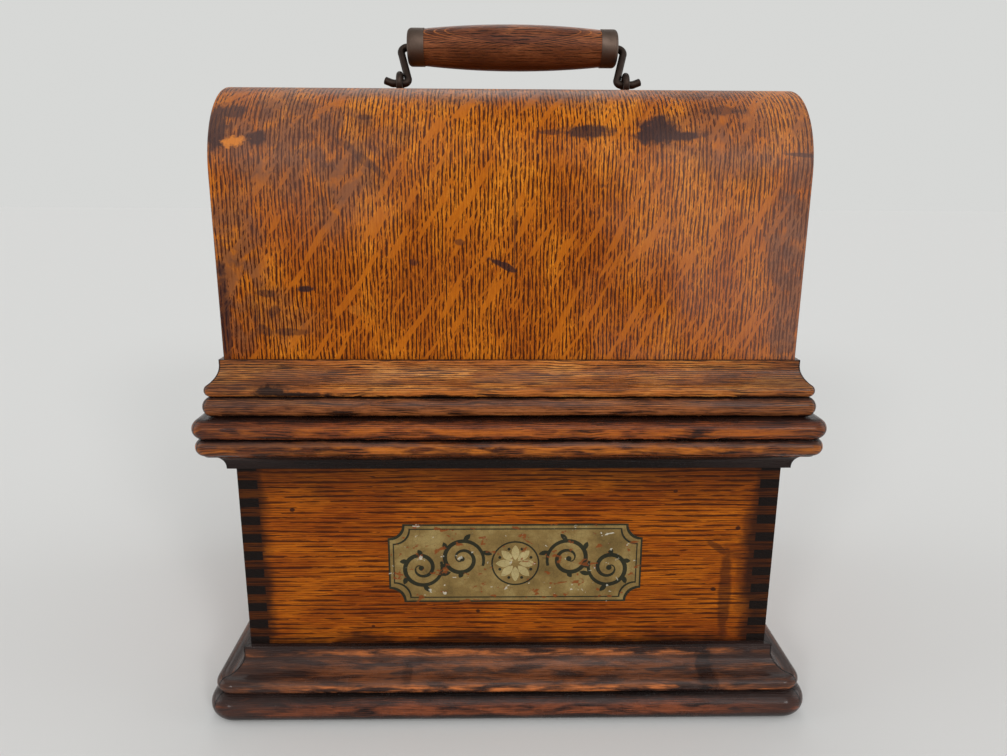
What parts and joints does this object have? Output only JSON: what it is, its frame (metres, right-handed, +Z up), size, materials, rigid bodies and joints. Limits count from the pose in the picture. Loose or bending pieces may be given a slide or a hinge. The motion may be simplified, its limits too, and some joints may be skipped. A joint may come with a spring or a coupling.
{
  "type": "cylinder phonograph",
  "caption": "Portable cylinder phonograph: finger-jointed oak case with moulded plinth, domed bentwood lid with a bail handle, spring motor and mandrel inside.",
  "frame": {"origin": "centre of the underside of the base rail", "axes": "+X to the right seen from the front, +Y towards the back, +Z up"},
  "size_m": [0.3084, 0.2334, 0.3529],
  "materials": {
    "oak_lid": "worn varnish",
    "oak_body": "worn varnish",
    "oak_dark": "worn varnish with grime in the recesses",
    "oak_inner": "oiled",
    "oak_handle": "polished by use",
    "iron_black": "black japanned",
    "iron_wire": "browned iron",
    "brass": "satin",
    "steel": "turned",
    "nickel": "worn nickel plate",
    "spring_steel": "blued",
    "leather": "belt leather",
    "aluminium": "turned",
    "mica": "clear"
  },
  "bodies": {
    "case": {"front_board": "oak_body", "back_board": "oak_body", "left_board": "oak_body", "right_board": "oak_body", "bottom_panel": "oak_inner", "base_rail": "oak_dark", "plinth_moulding": "oak_dark", "cornice_moulding": "oak_dark", "cornice_bead": "oak_dark", "locating_lip": "oak_inner", "ledger_rails": "oak_inner", "motor_board": "oak_inner", "bedplate": "iron_black", "deck_screws": "steel", "crank_escutcheon": "brass", "hook_pivots": "steel", "left_standard": "iron_black", "centre_standard": "iron_black", "right_standard": "iron_black", "feed_tube": "nickel", "motor_left_plate": "brass", "motor_right_plate": "brass", "motor_pillars": "steel", "winding_clutch": "steel", "drive_belt": "leather"},
    "lid": {"lid_skin": "oak_lid", "lid_left_end": "oak_body", "lid_right_end": "oak_body", "lid_skirt": "oak_dark", "lid_bead": "oak_dark", "handle_eyes": "iron_wire", "hook_studs": "steel"},
    "handle": {"handle_grip": "oak_handle", "handle_ferrules": "iron_wire", "handle_bail": "iron_wire"},
    "left_lid_hook": {"left_hook": "steel"},
    "right_lid_hook": {"right_hook": "steel"},
    "mandrel_unit": {"mandrel": "nickel", "mandrel_shaft": "steel", "mandrel_pulley": "iron_black", "mandrel_gear": "brass"},
    "feed_unit": {"feed_screw": "steel", "feed_gear": "brass"},
    "carriage": {"carriage_sleeve": "brass"},
    "reproducer_arm": {"carriage_arm": "nickel", "reproducer_body": "aluminium", "diaphragm": "mica", "diaphragm_ring": "iron_black", "stylus_lever": "nickel"},
    "start_control": {"start_lever": "nickel"},
    "speed_control": {"speed_screw": "brass"},
    "barrel_unit": {"spring_barrel": "brass", "barrel_cover": "brass", "mainspring": "spring_steel"},
    "winding_unit": {"winding_arbor": "steel"},
    "second_unit": {"second_arbor": "steel"},
    "third_unit": {"third_arbor": "steel", "drive_pulley": "iron_black"},
    "governor": {"governor_spindle": "steel", "governor_weights": "brass"}
  },
  "joints": [
    {"name": "lid_lift", "type": "slide", "parent": "case", "child": "lid", "axis": [0, 0, 1], "range_m": [0, 0.2]},
    {"name": "handle_swing", "type": "hinge", "parent": "lid", "child": "handle", "pos_m": [0, 0, 0.31966], "axis": [-1, 0, 0], "range_deg": [-105, 40]},
    {"name": "left_hook_turn", "type": "hinge", "parent": "case", "child": "left_lid_hook", "pos_m": [-0.14985, 0, 0.1537], "axis": [1, 0, 0], "range_deg": [0, 180]},
    {"name": "right_hook_turn", "type": "hinge", "parent": "case", "child": "right_lid_hook", "pos_m": [0.14985, 0, 0.1537], "axis": [1, 0, 0], "range_deg": [0, 180]},
    {"name": "mandrel_spin", "type": "hinge", "parent": "case", "child": "mandrel_unit", "pos_m": [0, -0.014, 0.214], "axis": [1, 0, 0], "continuous": true},
    {"name": "feed_spin", "type": "hinge", "parent": "case", "child": "feed_unit", "pos_m": [0, 0.03187, 0.24612], "axis": [1, 0, 0], "continuous": true},
    {"name": "third_spin", "type": "hinge", "parent": "case", "child": "third_unit", "pos_m": [0, -0.04498, 0.10033], "axis": [1, 0, 0], "continuous": true},
    {"name": "second_spin", "type": "hinge", "parent": "case", "child": "second_unit", "pos_m": [0, -0.01727, 0.08433], "axis": [1, 0, 0], "continuous": true},
    {"name": "barrel_spin", "type": "hinge", "parent": "case", "child": "barrel_unit", "pos_m": [0, 0.03, 0.076], "axis": [1, 0, 0], "continuous": true},
    {"name": "governor_spin", "type": "hinge", "parent": "case", "child": "governor", "pos_m": [0, -0.05818, 0.07747], "axis": [1, 0, 0], "continuous": true},
    {"name": "winding_spin", "type": "hinge", "parent": "case", "child": "winding_unit", "pos_m": [0, 0.03, 0.076], "axis": [1, 0, 0], "continuous": true},
    {"name": "carriage_slide", "type": "slide", "parent": "case", "child": "carriage", "axis": [1, 0, 0], "range_m": [0, 0.1]},
    {"name": "reproducer_lift", "type": "hinge", "parent": "carriage", "child": "reproducer_arm", "pos_m": [-0.021, 0.03187, 0.24612], "axis": [-1, 0, 0], "range_deg": [0, 25]},
    {"name": "start_turn", "type": "hinge", "parent": "case", "child": "start_control", "pos_m": [0.027, -0.03618, 0.154], "axis": [0, 0, 1], "range_deg": [0, 25]},
    {"name": "speed_turn", "type": "hinge", "parent": "case", "child": "speed_control", "pos_m": [0.017, -0.05818, 0.154], "axis": [0, 0, 1], "range_deg": [-180, 180]}
  ],
  "couplings": [
    {"joint": "feed_spin", "follows": "mandrel_spin", "ratio": -0.55556},
    {"joint": "third_spin", "follows": "mandrel_spin", "ratio": 0.76191},
    {"joint": "second_spin", "follows": "mandrel_spin", "ratio": -0.19048},
    {"joint": "barrel_spin", "follows": "mandrel_spin", "ratio": 0.038095},
    {"joint": "governor_spin", "follows": "mandrel_spin", "ratio": -3.4286}
  ]
}
